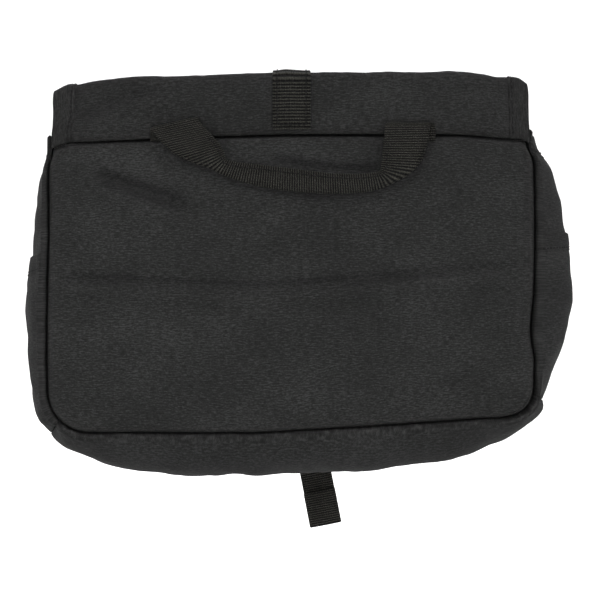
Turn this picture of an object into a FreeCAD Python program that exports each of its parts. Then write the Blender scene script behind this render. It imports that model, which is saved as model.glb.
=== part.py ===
import FreeCAD, Part
import math
import os

from FreeCAD import Vector

# A soft fabric flap bag. All sizes are in millimetres.
# X runs across the bag, +Y points out of the back panel and +Z is up.
# The origin is the middle of the back panel's top seam, on its outer face.

# --- Cloth and webbing ---
CLOTH = 1.6                # doubled canvas of the flap, gussets and pockets
PANEL = 2.0                # back and front panels
HEM_EXTRA = 0.8            # what a folded hem adds to the cloth
HEM_WIDTH = 12.0
TAPE_WIDTH = 8.0           # bias tape over the seam allowances
TAPE_EDGE = 1.0            # between the tape and the gusset's seam line
TAPE = 1.2
SEAM_GAP = 0.3             # between a panel's edge and the gusset's seam line
CLEAR = 0.2                # between two cloth edges that meet at a fold

# --- Bag body ---
PANEL_WIDTH = 308.0
PANEL_HEIGHT = 189.0
PANEL_RADIUS = 26.0        # lower corners of the panels
MOUTH_DEPTH = 62.0         # depth of the bag at the front lip
FRONT_SLOPE = 0.12         # how far the front moves out for each unit down
MOUTH_REAR_Z = 2.0         # the mouth's edge rises from the back panel ...
MOUTH_FRONT_Z = 26.0       # ... to the front panel's lip
MOUTH_BULGE = 3.0          # how far the gusset bows out at the mouth
SIDE_BULGE = 14.0          # ... at the sides
BOTTOM_BULGE = 24.0        # ... and along the bottom
BULGE_RUN = 110.0          # height over which the side's bow grows
CORNER_SPLIT_DEG = 45.0    # where the side and bottom gussets are joined
CREASE_RISE = 94.0         # pressed fold across the back panel, above its lower edge
CREASE_WIDTH = 2.0
CREASE_DEPTH = 0.4

# --- Side pockets ---
POCKET_RISE = 117.0        # top of the pockets above the panels' lower edge
POCKET_ROOM = 8.0          # between the gusset and the pocket's cloth
POCKET_CLOSED = 0.4        # what is left of it at the pocket's bottom seam

# --- Flap ---
FLAP_INSET = 2.0           # each side edge inside the panels' edges
FLAP_TOP_Z = 38.0          # the flap stands up from the seam to this fold
FLAP_RISE = 93.0           # lower edge of its front above the panels' lower edge
FLAP_GAP = 1.5             # between the flap's front and the front panel
FLAP_WEBBING_WIDTH = 25.0
WEBBING = 1.4
WEBBING_LOW_Z = 3.0        # where the webbing starts above the seam
WEBBING_HIGH_DROP = 1.0    # ... and where it ends below the rear fold
WEBBING_TOP_INSET = 0.5    # the top webbing stops short of the front fold
WEBBING_FOLD_GAP = 2.0     # the front webbing starts this far below the fold

# --- Carry handle ---
HANDLE_WEBBING_WIDTH = 27.0
HANDLE_SPACING = 151.0     # between the middles of the two ends
HANDLE_FOLD_Z = 9.0        # the webbing rises to here, then hangs over
HANDLE_OUT = 7.0           # the hanging ply's distance from the back panel
GRIP_SHORTER = 59.0        # the grip's length is this much less than the spacing
GRIP_HEIGHT = 13.0         # webbing folded lengthwise
GRIP_THICKNESS = 3.8
GRIP_TOP_Z = -23.0

# --- Buckle and closing strap ---
STRAP_WIDTH = 20.0
RAIL = 3.0                 # the buckle beside the webbing, on each side
SOCKET_HEIGHT = 25.0
SOCKET_DEPTH = 8.6
SOCKET_WALL = 1.6
SOCKET_TOP_DROP = 3.0      # the socket starts this far below the flap
WINDOW_HEIGHT = 9.0        # side windows where the prongs are pressed
WINDOW_LOW = 6.0
BAR = 3.0                  # bars that webbing goes round
SLOT = 3.2                 # slots that webbing goes through
UNCLIPPED_GAP = 2.0        # between the socket's mouth and the prong tips
PRONG_LENGTH = 15.0
PRONG_THICKNESS = 3.6
PRONG_WIDTH = 3.0
PRONG_HEAD = 1.6           # how far a prong's head stands out
PRONG_HEAD_LENGTH = 5.0
PRONG_CLEARANCE = 0.6      # between a prong's head and the socket's wall
GUIDE_WIDTH = 3.0
GUIDE_LENGTH = 9.0
FRAME_HEIGHT = 17.0
FRAME_THICKNESS = 4.2
PATCH_HEIGHT = 16.0
PATCH_RISE = 4.0           # above the front panel's lower edge
STRAP_BEND = 9.0           # height over which the strap comes forward off its patch
TAIL_LENGTH = 112.0
TAIL_TILT_DEG = 11.0       # the free tail hangs askew ...
TAIL_SHIFT = -4.0          # ... from a little off the middle
TAIL_OUT = 0.3             # between the tail and the buckle's frame
TAIL_STOP = 24.0           # folded and sewn end, on the tail's inner side

# --- Places worked out from the sizes above ---
HALF_PANEL = PANEL_WIDTH / 2
HALF_FLAP = HALF_PANEL - FLAP_INSET
CREASE_Z = CREASE_RISE - PANEL_HEIGHT
POCKET_TOP_Z = POCKET_RISE - PANEL_HEIGHT
FLAP_BOTTOM_Z = FLAP_RISE - PANEL_HEIGHT
GRIP_LENGTH = HANDLE_SPACING - GRIP_SHORTER
SOCKET_WIDTH = STRAP_WIDTH + 2 * RAIL
PRONG_OUTER = SOCKET_WIDTH / 2 - SOCKET_WALL - PRONG_CLEARANCE - PRONG_HEAD
FLAP_FRONT_Y = -(MOUTH_DEPTH - FRONT_SLOPE * (FLAP_TOP_Z - MOUTH_FRONT_Z)) - FLAP_GAP - CLOTH
FAR = 500.0                # larger than the bag, for cutting blocks
MOUTH_SPARE = 2.0          # the gussets start this far above the mouth, before it is cut
SLOPE_DEG = math.degrees(math.atan(FRONT_SLOPE))
SLOPE_COS = math.cos(math.radians(SLOPE_DEG))
SLOPE_SIN = math.sin(math.radians(SLOPE_DEG))

# Heights of the closure, measured along the sloping front from the height of the origin.
FLAP_END = FLAP_BOTTOM_Z / SLOPE_COS
SOCKET_TOP = FLAP_END - SOCKET_TOP_DROP
SOCKET_LOW = SOCKET_TOP - SOCKET_HEIGHT
TONGUE_TIP = SOCKET_LOW - UNCLIPPED_GAP
FRAME_TOP = TONGUE_TIP - PRONG_LENGTH
FRAME_LOW = FRAME_TOP - FRAME_HEIGHT
UPPER_SLOT_TOP = FRAME_TOP - BAR
LADDER_TOP = UPPER_SLOT_TOP - SLOT
PATCH_LOW = (PATCH_RISE - PANEL_HEIGHT) / SLOPE_COS

# The buckle's middle plane, counted out of the front panel's face (out is negative):
# its webbing loop lies on the flap's webbing and passes behind the bar.
BAR_TO_PLY = BAR / 2 + CLEAR
BUCKLE_OUT = -(FLAP_GAP + CLOTH + WEBBING + CLEAR + WEBBING + BAR_TO_PLY)


def front_y(z):
    """The front panel's outer face at a height."""
    return -(MOUTH_DEPTH + FRONT_SLOPE * (MOUTH_FRONT_Z - z))


def flap_y(z):
    """The flap front's outer face at a height."""
    return front_y(z) - FLAP_GAP - CLOTH


def front_point(x, out, along):
    """A point given by its distance from the front face and its height along it."""
    y = front_y(0) + out * SLOPE_COS + along * SLOPE_SIN
    return Vector(x, y, along * SLOPE_COS - out * SLOPE_SIN)


def on_front(shape):
    """Leans a closure piece, made upright with the front face at y = 0, onto the sloping front."""
    leaned = shape.copy()
    leaned.rotate(Vector(0, 0, 0), Vector(1, 0, 0), -SLOPE_DEG)
    leaned.translate(Vector(0, front_y(0), 0))
    return leaned


def box(x0, x1, y0, y1, z0, z1):
    return Part.makeBox(x1 - x0, y1 - y0, z1 - z0, Vector(x0, y0, z0))


def across(points_yz, x0, x1):
    """A profile in the YZ plane, drawn out across the bag."""
    wire = Part.makePolygon([Vector(x0, y, z) for y, z in points_yz + points_yz[:1]])
    return Part.Face(wire).extrude(Vector(x1 - x0, 0, 0))


def upright(points_xz, y0, y1):
    """A profile in the XZ plane, drawn out from the back to the front."""
    wire = Part.makePolygon([Vector(x, y0, z) for x, z in points_xz + points_xz[:1]])
    return Part.Face(wire).extrude(Vector(0, y1 - y0, 0))


def mirrored(shape):
    return shape.mirror(Vector(0, 0, 0), Vector(1, 0, 0))


def save(name, shape):
    shape.exportStep(f"parts/{name}.step")


def save_pair(name, left):
    """A left piece and its mirror image."""
    save(f"{name}_left", left)
    save(f"{name}_right", mirrored(left))


def panel_prism(top, inset, y0, y1):
    """The panels' outline, square at the top and round at the lower corners."""
    w = HALF_PANEL - inset
    low = -PANEL_HEIGHT + inset
    r = PANEL_RADIUS - inset
    k = r * (1 - math.sqrt(0.5))
    edges = [
        Part.LineSegment(Vector(-w, y0, top), Vector(w, y0, top)),
        Part.LineSegment(Vector(w, y0, top), Vector(w, y0, low + r)),
        Part.Arc(Vector(w, y0, low + r), Vector(w - k, y0, low + k), Vector(w - r, y0, low)),
        Part.LineSegment(Vector(w - r, y0, low), Vector(r - w, y0, low)),
        Part.Arc(Vector(r - w, y0, low), Vector(k - w, y0, low + k), Vector(-w, y0, low + r)),
        Part.LineSegment(Vector(-w, y0, low + r), Vector(-w, y0, top)),
    ]
    wire = Part.Wire([e.toShape() for e in edges])
    return Part.Face(wire).extrude(Vector(0, y1 - y0, 0))


def front_slab(near, far, low=-FAR, high=FAR):
    """The space between two offsets, measured inwards, from the sloping front face."""
    profile = [
        (front_y(low) + near, low),
        (front_y(high) + near, high),
        (front_y(high) + far, high),
        (front_y(low) + far, low),
    ]
    return across(profile, -FAR, FAR)


def under_mouth(drop):
    """Everything below a line that lies a drop below the mouth's sloping edge."""
    rise = (MOUTH_FRONT_Z - MOUTH_REAR_Z) / MOUTH_DEPTH
    profile = [
        (FAR, MOUTH_REAR_Z - drop - rise * FAR),
        (-FAR, MOUTH_REAR_Z - drop + rise * FAR),
        (-FAR, -FAR),
        (FAR, -FAR),
    ]
    return across(profile, -FAR, FAR)


def side_place(z):
    """(point on the seam line, direction out of the bag, bow) on the left side."""
    share = min(1.0, max(0.0, (MOUTH_FRONT_Z - z) / BULGE_RUN))
    bow = MOUTH_BULGE + (SIDE_BULGE - MOUTH_BULGE) * math.sin(share * math.pi / 2)
    return Vector(HALF_PANEL, 0, z), Vector(1, 0, 0), bow


def corner_place(deg):
    """The same, round the lower corner: 0 at the side and 90 at the bottom."""
    a = math.radians(deg)
    out = Vector(math.cos(a), 0, -math.sin(a))
    centre = Vector(HALF_PANEL - PANEL_RADIUS, 0, PANEL_RADIUS - PANEL_HEIGHT)
    bow = SIDE_BULGE + (BOTTOM_BULGE - SIDE_BULGE) * math.sin(a) ** 2
    return centre + out * PANEL_RADIUS, out, bow


def bowed_section(place, inner, outer, inner_bow, outer_bow):
    """A strip's section from the rear seam to the front seam, bowed out of the bag."""
    point, out, _ = place
    depth = -front_y(point.z)

    def at(n, y):
        return point + out * n + Vector(0, y, 0)

    def bowed(n, bow, start, end):
        return Part.Arc(at(n, start), at(n + bow, -depth / 2), at(n, end)).toShape()

    def line(n0, y0, n1, y1):
        return Part.LineSegment(at(n0, y0), at(n1, y1)).toShape()

    rear = -PANEL
    front = PANEL - depth
    return Part.Wire([
        line(inner, 0, outer, 0),
        line(outer, 0, outer, rear),
        bowed(outer, outer_bow, rear, front),
        line(outer, front, outer, -depth),
        line(outer, -depth, inner, -depth),
        line(inner, -depth, inner, front),
        bowed(inner, inner_bow, front, rear),
        line(inner, rear, inner, 0),
    ])


def gusset_strip(places, thickness):
    wires = [bowed_section(p, 0, thickness, p[2], p[2]) for p in places]
    return Part.makeLoft(wires, True, True)


def side_places(top):
    low = PANEL_RADIUS - PANEL_HEIGHT
    steps = 6
    straight = [side_place(top + (low - top) * i / steps) for i in range(steps + 1)]
    return straight + [corner_place(CORNER_SPLIT_DEG * i / 3) for i in (1, 2, 3)]


def build_body():
    back = panel_prism(0, SEAM_GAP, -PANEL, 0)
    crease = box(-FAR, FAR, -CREASE_DEPTH, FAR, CREASE_Z - CREASE_WIDTH / 2, CREASE_Z + CREASE_WIDTH / 2)
    save("back_panel", back.cut(crease))
    save("front_panel", panel_prism(MOUTH_FRONT_Z, SEAM_GAP, -FAR, 0).common(front_slab(0, PANEL)))

    side = gusset_strip(side_places(MOUTH_FRONT_Z + MOUTH_SPARE), CLOTH)
    save_pair("side_gusset", side.common(under_mouth(HEM_WIDTH)))
    hem = gusset_strip(side_places(MOUTH_FRONT_Z + MOUTH_SPARE), CLOTH + HEM_EXTRA)
    save_pair("mouth_hem", hem.common(under_mouth(0)).cut(under_mouth(HEM_WIDTH)))
    lip_low = MOUTH_FRONT_Z - HEM_WIDTH
    lip = panel_prism(MOUTH_FRONT_Z, SEAM_GAP, -FAR, 0)
    save("mouth_hem_front", lip.common(front_slab(PANEL, PANEL + HEM_EXTRA, lip_low, MOUTH_FRONT_Z)))

    half = [corner_place(CORNER_SPLIT_DEG + (90 - CORNER_SPLIT_DEG) * i / 3) for i in range(4)]
    other = [(Vector(-p.x, 0, p.z), Vector(-n.x, 0, n.z), bow) for p, n, bow in reversed(half)]
    save("bottom_gusset", gusset_strip(half + other, CLOTH))

    for name, top, cover in (
        ("rear_seam_tape", 0, box(-FAR, FAR, -PANEL - TAPE, -PANEL, -FAR, FAR)),
        ("front_seam_tape", lip_low, front_slab(PANEL, PANEL + TAPE)),
    ):
        outer = panel_prism(top, TAPE_EDGE, -FAR, 0)
        save(name, outer.cut(panel_prism(FAR, TAPE_EDGE + TAPE_WIDTH, -FAR, 0)).common(cover))


def build_pockets():
    places = side_places(POCKET_TOP_Z)
    hem_places = [side_place(POCKET_TOP_Z), side_place(POCKET_TOP_Z - HEM_WIDTH)]
    cloth_places = [side_place(POCKET_TOP_Z - HEM_WIDTH)] + places[1:]
    last = len(cloth_places) - 1

    def pocket_section(place, thickness, room):
        bow = place[2] + room
        return bowed_section(place, CLOTH, CLOTH + thickness, bow, bow)

    rooms = [POCKET_ROOM] * (last - 2) + [POCKET_ROOM * 0.7, POCKET_ROOM * 0.35, POCKET_CLOSED]
    wires = [pocket_section(p, CLOTH, r) for p, r in zip(cloth_places, rooms)]
    save_pair("side_pocket", Part.makeLoft(wires, True, True))
    wires = [pocket_section(p, CLOTH + HEM_EXTRA, POCKET_ROOM) for p in hem_places]
    save_pair("pocket_hem", Part.makeLoft(wires, True, True))


def flap_strips(riser_name, top_name, front_name, x0, x1, thickness, low):
    """One strip of the flap's cloth in its three pieces: riser, top and front."""
    inner = FLAP_TOP_Z - thickness
    save(riser_name, box(x0, x1, -thickness, 0, 0, inner - CLEAR))
    top = [
        (-CLEAR, inner),
        (-CLEAR, FLAP_TOP_Z),
        (FLAP_FRONT_Y + CLEAR, FLAP_TOP_Z),
        (FLAP_FRONT_Y + thickness + CLEAR, inner),
    ]
    save(top_name, across(top, x0, x1))
    front = [
        (flap_y(FLAP_TOP_Z - CLEAR), FLAP_TOP_Z - CLEAR),
        (flap_y(inner - CLEAR) + thickness, inner - CLEAR),
        (flap_y(low) + thickness, low),
        (flap_y(low), low),
    ]
    save(front_name, across(front, x0, x1))


def build_flap():
    inner_edge = HALF_FLAP - HEM_WIDTH
    hem = CLOTH + HEM_EXTRA
    hem_top = FLAP_BOTTOM_Z + HEM_WIDTH
    flap_strips("flap_riser", "flap_top", "flap_front", -inner_edge, inner_edge, CLOTH, hem_top)
    for side, x0, x1 in (("left", inner_edge, HALF_FLAP), ("right", -HALF_FLAP, -inner_edge)):
        names = [f"{piece}_hem_{side}" for piece in ("flap_riser", "flap_top", "flap_front")]
        flap_strips(*names, x0, x1, hem, hem_top)
    bottom = [
        (flap_y(hem_top), hem_top),
        (flap_y(hem_top) + hem, hem_top),
        (flap_y(FLAP_BOTTOM_Z) + hem, FLAP_BOTTOM_Z),
        (flap_y(FLAP_BOTTOM_Z), FLAP_BOTTOM_Z),
    ]
    save("flap_bottom_hem", across(bottom, -HALF_FLAP, HALF_FLAP))

    w = FLAP_WEBBING_WIDTH / 2
    save("flap_webbing_riser", box(-w, w, 0, WEBBING, WEBBING_LOW_Z, FLAP_TOP_Z - WEBBING_HIGH_DROP))
    top_end = FLAP_FRONT_Y + WEBBING_TOP_INSET
    save("flap_webbing_top", box(-w, w, top_end, -CLEAR, FLAP_TOP_Z, FLAP_TOP_Z + WEBBING))
    high = FLAP_TOP_Z - WEBBING_FOLD_GAP
    webbing = [
        (flap_y(high), high),
        (flap_y(FLAP_BOTTOM_Z), FLAP_BOTTOM_Z),
        (flap_y(FLAP_BOTTOM_Z) - WEBBING, FLAP_BOTTOM_Z),
        (flap_y(high) - WEBBING, high),
    ]
    save("flap_webbing_front", across(webbing, -w, w))


def build_handle():
    middle = HANDLE_SPACING / 2
    w = HANDLE_WEBBING_WIDTH / 2
    save_pair("handle_end", box(middle - w, middle + w, 0, WEBBING, 0, HANDLE_FOLD_Z))
    end = GRIP_LENGTH / 2
    low = GRIP_TOP_Z - GRIP_HEIGHT
    outline = [
        (middle - w, HANDLE_FOLD_Z),
        (middle + w, HANDLE_FOLD_Z),
        (middle + w, HANDLE_FOLD_Z - w / 2),
        (end + w, low + w / 2),
        (end, low),
        (end, GRIP_TOP_Z),
    ]
    save_pair("handle_tab", upright(outline, HANDLE_OUT, HANDLE_OUT + WEBBING))
    y0 = HANDLE_OUT + (WEBBING - GRIP_THICKNESS) / 2
    save("handle_grip", box(-end, end, y0, y0 + GRIP_THICKNESS, low, GRIP_TOP_Z))


def plate(half_width, thickness, low, high):
    """A block centred on the buckle's middle plane."""
    return box(-half_width, half_width, BUCKLE_OUT - thickness / 2, BUCKLE_OUT + thickness / 2, low, high)


def thinned(body, half_width, thickness, low, high):
    """The body with one stretch of it cut down to a thinner web."""
    stretch = plate(half_width, FAR, low, high)
    return body.cut(stretch).fuse(body.common(plate(half_width, thickness, low, high)))


def build_socket():
    w = SOCKET_WIDTH / 2
    inner_w = w - SOCKET_WALL
    inner_d = SOCKET_DEPTH - 2 * SOCKET_WALL
    slot_w = STRAP_WIDTH / 2 + 2 * CLEAR
    slot_top = SOCKET_TOP - BAR
    cavity_top = slot_top - SLOT - BAR
    body = plate(w, SOCKET_DEPTH, SOCKET_LOW, SOCKET_TOP)
    body = body.cut(plate(inner_w, inner_d, SOCKET_LOW - 1, cavity_top))
    window_low = SOCKET_LOW + WINDOW_LOW
    body = body.cut(plate(w + 1, inner_d, window_low, window_low + WINDOW_HEIGHT))
    body = thinned(body, w + 1, BAR, cavity_top + BAR, SOCKET_TOP + 1)
    body = body.cut(plate(slot_w, FAR, slot_top - SLOT, slot_top))
    save("buckle_socket", on_front(body.removeSplitter()))

    # A short loop of webbing, sewn to the flap, goes down, through the slot, and up again.
    s = STRAP_WIDTH / 2
    loop_top = FLAP_END + HEM_WIDTH
    loop = plate(s, 2 * (BAR_TO_PLY + WEBBING), slot_top - CLEAR - WEBBING, loop_top)
    hole = plate(s + 1, 2 * BAR_TO_PLY, slot_top - CLEAR, loop_top - WEBBING)
    save("socket_loop", on_front(loop.cut(hole)))


def build_tongue():
    w = SOCKET_WIDTH / 2
    slot_w = STRAP_WIDTH / 2 + 2 * CLEAR
    lower_slot_top = LADDER_TOP - BAR
    frame = plate(w, FRAME_THICKNESS, FRAME_LOW, FRAME_TOP)
    frame = thinned(frame, slot_w, BAR, FRAME_LOW - 1, UPPER_SLOT_TOP)
    for slot_top in (UPPER_SLOT_TOP, lower_slot_top):
        frame = frame.cut(plate(slot_w, FAR, slot_top - SLOT, slot_top))
    guide = plate(GUIDE_WIDTH / 2, PRONG_THICKNESS, FRAME_TOP, FRAME_TOP + GUIDE_LENGTH)
    save("buckle_frame", on_front(frame.fuse(guide).removeSplitter()))

    outer = PRONG_OUTER
    inner = PRONG_OUTER - PRONG_WIDTH
    foot = FRAME_TOP + CLEAR
    head_low = TONGUE_TIP - PRONG_HEAD_LENGTH
    prong = [
        (inner, foot),
        (outer, foot),
        (outer, head_low - PRONG_HEAD),
        (outer + PRONG_HEAD, head_low),
        (outer, TONGUE_TIP),
        (inner + PRONG_HEAD, TONGUE_TIP),
    ]
    y = BUCKLE_OUT - PRONG_THICKNESS / 2
    save_pair("buckle_prong", on_front(upright(prong, y, y + PRONG_THICKNESS)))


def build_strap():
    s = STRAP_WIDTH / 2
    top = LADDER_TOP + CLEAR
    rear = BUCKLE_OUT + BAR_TO_PLY
    front = BUCKLE_OUT - BAR_TO_PLY
    sewn = -WEBBING - CLEAR
    bend_low = PATCH_LOW + PATCH_HEIGHT
    bend_high = bend_low + STRAP_BEND
    profile = [
        (sewn, PATCH_LOW),
        (sewn, bend_low),
        (rear + WEBBING, bend_high),
        (rear + WEBBING, top + WEBBING),
        (front, top + WEBBING),
        (front, top),
        (rear, top),
        (rear, bend_high),
        (sewn - WEBBING, bend_low),
        (sewn - WEBBING, PATCH_LOW),
    ]
    save("closing_strap", on_front(across(profile, -s, s)))
    save("strap_patch", on_front(box(-s, s, -WEBBING, 0, PATCH_LOW, bend_low)))

    # The tail hangs plumb in front of the buckle's frame.
    face_y = front_point(0, BUCKLE_OUT - FRAME_THICKNESS / 2, FRAME_LOW).y - TAIL_OUT
    top_z = front_point(0, front, top).z
    low_z = top_z - TAIL_LENGTH
    tail = box(-s, s, face_y - WEBBING, face_y, low_z, top_z)
    stop = box(-s, s, face_y, face_y + WEBBING, low_z, low_z + TAIL_STOP)
    for name, shape in (("strap_tail", tail), ("strap_tail_stop", stop)):
        shape.rotate(Vector(0, 0, top_z), Vector(0, 1, 0), TAIL_TILT_DEG)
        shape.translate(Vector(TAIL_SHIFT, 0, 0))
        save(name, shape)


os.makedirs("parts", exist_ok=True)
build_body()
build_pockets()
build_flap()
build_handle()
build_socket()
build_tongue()
build_strap()
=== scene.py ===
import bmesh
import bpy
import math
import numpy as np
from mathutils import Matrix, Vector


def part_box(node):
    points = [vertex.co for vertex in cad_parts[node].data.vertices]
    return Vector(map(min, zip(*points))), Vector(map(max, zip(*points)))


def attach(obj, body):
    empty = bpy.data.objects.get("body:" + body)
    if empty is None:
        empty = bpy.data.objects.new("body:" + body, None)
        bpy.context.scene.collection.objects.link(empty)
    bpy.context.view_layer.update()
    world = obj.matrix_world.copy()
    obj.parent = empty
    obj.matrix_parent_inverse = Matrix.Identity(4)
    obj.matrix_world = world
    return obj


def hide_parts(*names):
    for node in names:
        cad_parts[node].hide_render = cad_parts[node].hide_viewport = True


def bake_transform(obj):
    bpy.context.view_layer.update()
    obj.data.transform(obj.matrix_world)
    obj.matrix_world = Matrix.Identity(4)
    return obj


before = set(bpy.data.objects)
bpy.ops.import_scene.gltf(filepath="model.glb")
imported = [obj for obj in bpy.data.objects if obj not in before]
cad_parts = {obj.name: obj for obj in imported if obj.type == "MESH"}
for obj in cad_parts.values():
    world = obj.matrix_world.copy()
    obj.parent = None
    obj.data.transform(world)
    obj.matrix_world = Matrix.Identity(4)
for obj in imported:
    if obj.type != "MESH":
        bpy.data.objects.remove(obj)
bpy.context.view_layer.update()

# Shapes are worked out in millimetres: X across the bag, +Y out of the back panel, +Z up.
MM = 0.001


def node_box(name):
    low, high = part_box(name)
    return np.array(low) / MM, np.array(high) / MM


# --- Sizes read from the frame ---
panel_low, panel_high = node_box("back_panel")
SEAM_GAP = 0.3
HALF = panel_high[0] + SEAM_GAP
LOW = panel_low[2] - SEAM_GAP
LIP_Z = node_box("front_panel")[1][2]
POCKET_Z = node_box("pocket_hem_left")[1][2]
flap_low, flap_high = node_box("flap_bottom_hem")
HALF_FLAP = flap_high[0]
FLAP_END_Z = flap_low[2]
FOLD_Z = node_box("flap_top")[1][2]
FOLD_Y = node_box("flap_top")[0][1] - 0.2
STRAP_HALF = node_box("closing_strap")[1][0]

# --- Sizes the frame's boxes don't give ---
RADIUS = 26.0  # of the panels' lower corners
SLOPE = 0.12  # how fast the front face comes forward as it goes down
MOUTH_DEPTH = 62.0
MOUTH_REAR_Z = 7.0
MOUTH_SAG = 9.0
CLOTH = 1.6
PANEL_CLOTH = 1.8
PROUD = 1.5  # how far the gussets' and flap's outer faces stand off the sewn outline
HEM = 12.0
SEWN = HEM - 1  # from a hem's edge to its stitches
WEB = 1.4
STRIP_DEPTH = 68  # the gusset's depth in cloth coordinates
SIDES = ((1, "left"), (-1, "right"))
SLOPE_COS = 1 / math.hypot(1, SLOPE)
SLOPE_SIN = SLOPE * SLOPE_COS
SIDE_RUN = LIP_Z - LOW - RADIUS
ARC_RUN = math.pi / 2 * RADIUS
BOTTOM_RUN = 2 * (HALF - RADIUS)
HALF_RUN = SIDE_RUN + ARC_RUN + BOTTOM_RUN / 2
SPLIT = SIDE_RUN + ARC_RUN / 2
SPLIT_RIGHT = SPLIT - 9
FAR_SPLIT = 2 * HALF_RUN - SPLIT_RIGHT


# --- Small tools ---
def ease(t):
    t = np.clip(t, 0.0, 1.0)
    return t * t * (3 - 2 * t)


def bell(t):
    return np.exp(-t * t)


def smooth_knots(x, pairs, soft):
    """A soft curve near straight runs between pairs of numbers."""
    at, value = zip(*pairs)
    offsets = np.linspace(-soft, soft, 7)
    return sum(np.interp(x + d, at, value) for d in offsets) / len(offsets)


def spaced(start, stop, step, fine=()):
    """Numbers from start to stop, with a closer group around each place in fine."""
    count = max(2, int(round(abs(stop - start) / step)) + 1)
    values = list(np.linspace(start, stop, count))
    low, high = min(start, stop), max(start, stop)
    for place in fine:
        values += [place + d for d in (-2.1, -1.3, -0.7, 0.0, 0.7, 1.3, 2.1)]
    values = sorted(v for v in values if low <= v <= high)
    kept = [values[0]]
    for v in values[1:]:
        if v - kept[-1] > 0.3:
            kept.append(v)
    kept[-1] = values[-1]
    return np.array(kept if start < stop else kept[::-1])


def xyz(x, y, z):
    return np.stack(np.broadcast_arrays(x, y, z), axis=-1)


def unit(vectors):
    return vectors / np.maximum(np.linalg.norm(vectors, axis=-1, keepdims=True), 1e-9)


def running_total(steps):
    return np.concatenate([[0], np.cumsum(steps)])


def lengths_along(line):
    """Length from a line's start to each of its points."""
    return running_total(np.linalg.norm(np.diff(line, axis=0), axis=1))


def read_at(places, length, columns):
    """Each column of numbers, read at places along the length."""
    return np.stack([np.interp(places, length, column) for column in columns.T], axis=1)


def ripples(seed, size):
    """A fixed pattern of soft waves, about one high and size across."""
    rng = np.random.default_rng(seed)
    waves = []
    for share in (1.0, 0.83, 0.66, 0.52, 0.4, 0.3):
        waves.append((rng.uniform(0, math.pi), rng.uniform(0, 2 * math.pi), size * share, share))

    def field(u, v):
        total = 0.0
        for angle, phase, length, share in waves:
            along = u * math.cos(angle) + v * math.sin(angle)
            bent = along + 0.12 * length * np.sin(2 * math.pi * (v - u) / (1.7 * length) + phase)
            total = total + share * np.sin(2 * math.pi * bent / length + phase)
        return total / 2.2

    return field


def off_line(x, z, points):
    """(distance above a line of points, how much of the line is alongside)."""
    at, height = zip(*points)
    ends = ease((x - at[0]) / 12) * ease((at[-1] - x) / 12)
    return z - smooth_knots(x, points, 14), ends


def creases(x, z, table):
    """Height from ridges and dents along lines of points. Each is (height, place above the line, width)."""
    total = 0.0
    for points, ridges in table:
        above, ends = off_line(x, z, points)
        for height, place, width in ridges:
            total = total + height * ends * bell((above - place) / width)
    return total


# --- Places on the bag ---
def front_y(z):
    return -(MOUTH_DEPTH + SLOPE * (LIP_Z - z))


def front_at(x, out, along):
    """A point by its distance from the sloping front face and its height along it."""
    y = front_y(0) + out * SLOPE_COS + along * SLOPE_SIN
    return xyz(x, y, along * SLOPE_COS - out * SLOPE_SIN)


def lower_right_corner(x, z):
    """One at the panels' lower corner at -X, falling to nothing about 30 mm away."""
    return bell(np.hypot(x + 151, z + 185) / 17)


def settle(p):
    """The bag hangs unevenly: its lower seam is higher at -X, its top corners droop and are drawn in,
    its lower corner at -X hangs out, and its sides sway."""
    p = np.array(p, float)
    x, z = p[..., 0].copy(), p[..., 2].copy()
    lift = 11.5 * np.clip((24 - x) / 178, 0, 1) ** 1.15 * ease((-50 - z) / 135)
    droop = 5.0 * np.clip(x / 135, 0, 1) ** 1.2 + 3.5 * np.clip((x - 138) / 14, 0, 1.3) ** 2
    droop += 3.0 * ease((-x - 98) / 52) + 4.0 * ease((-x - 149) / 9)
    corner = lower_right_corner(x, z)
    pinch = ease((z + 17) / 17) ** 1.5
    drawn_in = 4.5 * ease((-x - 120) / 30) - 3.0 * ease((x - 120) / 30)
    p[..., 0] += pinch * drawn_in - 3.6 * corner
    p[..., 2] += lift - droop * ease((z + 85) / 85) - 3.0 * corner
    sway = 0.7 * np.sin(z / 31 + 0.4) + 1.6 * bell((z + 128) / 16) - 1.2 * bell((z + 152) / 9)
    left_sway = 0.6 * np.sin(z / 27)
    p[..., 0] += np.where(x < 0, sway * ease((-x - 60) / 90), left_sway * ease((x - 60) / 90))
    return p


def seam_line(s):
    """Points and outward directions on the seam, by length down +X, along the bottom and up -X."""
    left = s <= HALF_RUN
    t = np.where(left, s, 2 * HALF_RUN - s)
    side = np.where(left, 1.0, -1.0)
    angle = np.clip((t - SIDE_RUN) / RADIUS, 0, math.pi / 2)
    x = HALF - RADIUS + RADIUS * np.cos(angle) - np.clip(t - SIDE_RUN - ARC_RUN, 0, None)
    z = LIP_Z - np.minimum(t, SIDE_RUN) - RADIUS * np.sin(angle)
    return side * x, z, side * np.cos(angle), -np.sin(angle)


# How far the outside bows out from the seam, by length along it. The -X side bags out most.
OUTER_BOW = [
    (0, -7), (20, -4), (34, 0.5), (46, 4), (63, 7.5), (83, 9.2), (98, 9.9), (110, 10.9), (135, 12.6),
    (165, 11.2), (190, 9.4), (212, 9.5), (232, 15), (250, 22.5), (285, 25.4), (362, 25.9), (400, 27),
    (440, 25.5), (475, 20), (496, 10.5), (512, 7.4), (528, 9.6), (543, 17.5), (558, 22.4), (585, 25.2),
    (602, 22.6), (616, 20.0), (628, 18.3), (643, 16.4), (657, 14), (677, 9.5), (690, 5), (700, 2),
    (716, -3),
]
# What the side pockets take off that where they cover the gusset.
POCKET_TAKES = [
    (98, 0), (112, 0.6), (135, 4), (180, 4), (209, 1.7), (215, 0), (500, 0), (507, 1.7), (535, 5),
    (588, 5), (604, 2.4), (616, 1.2), (628, 0.3), (634, 0),
]

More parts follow.
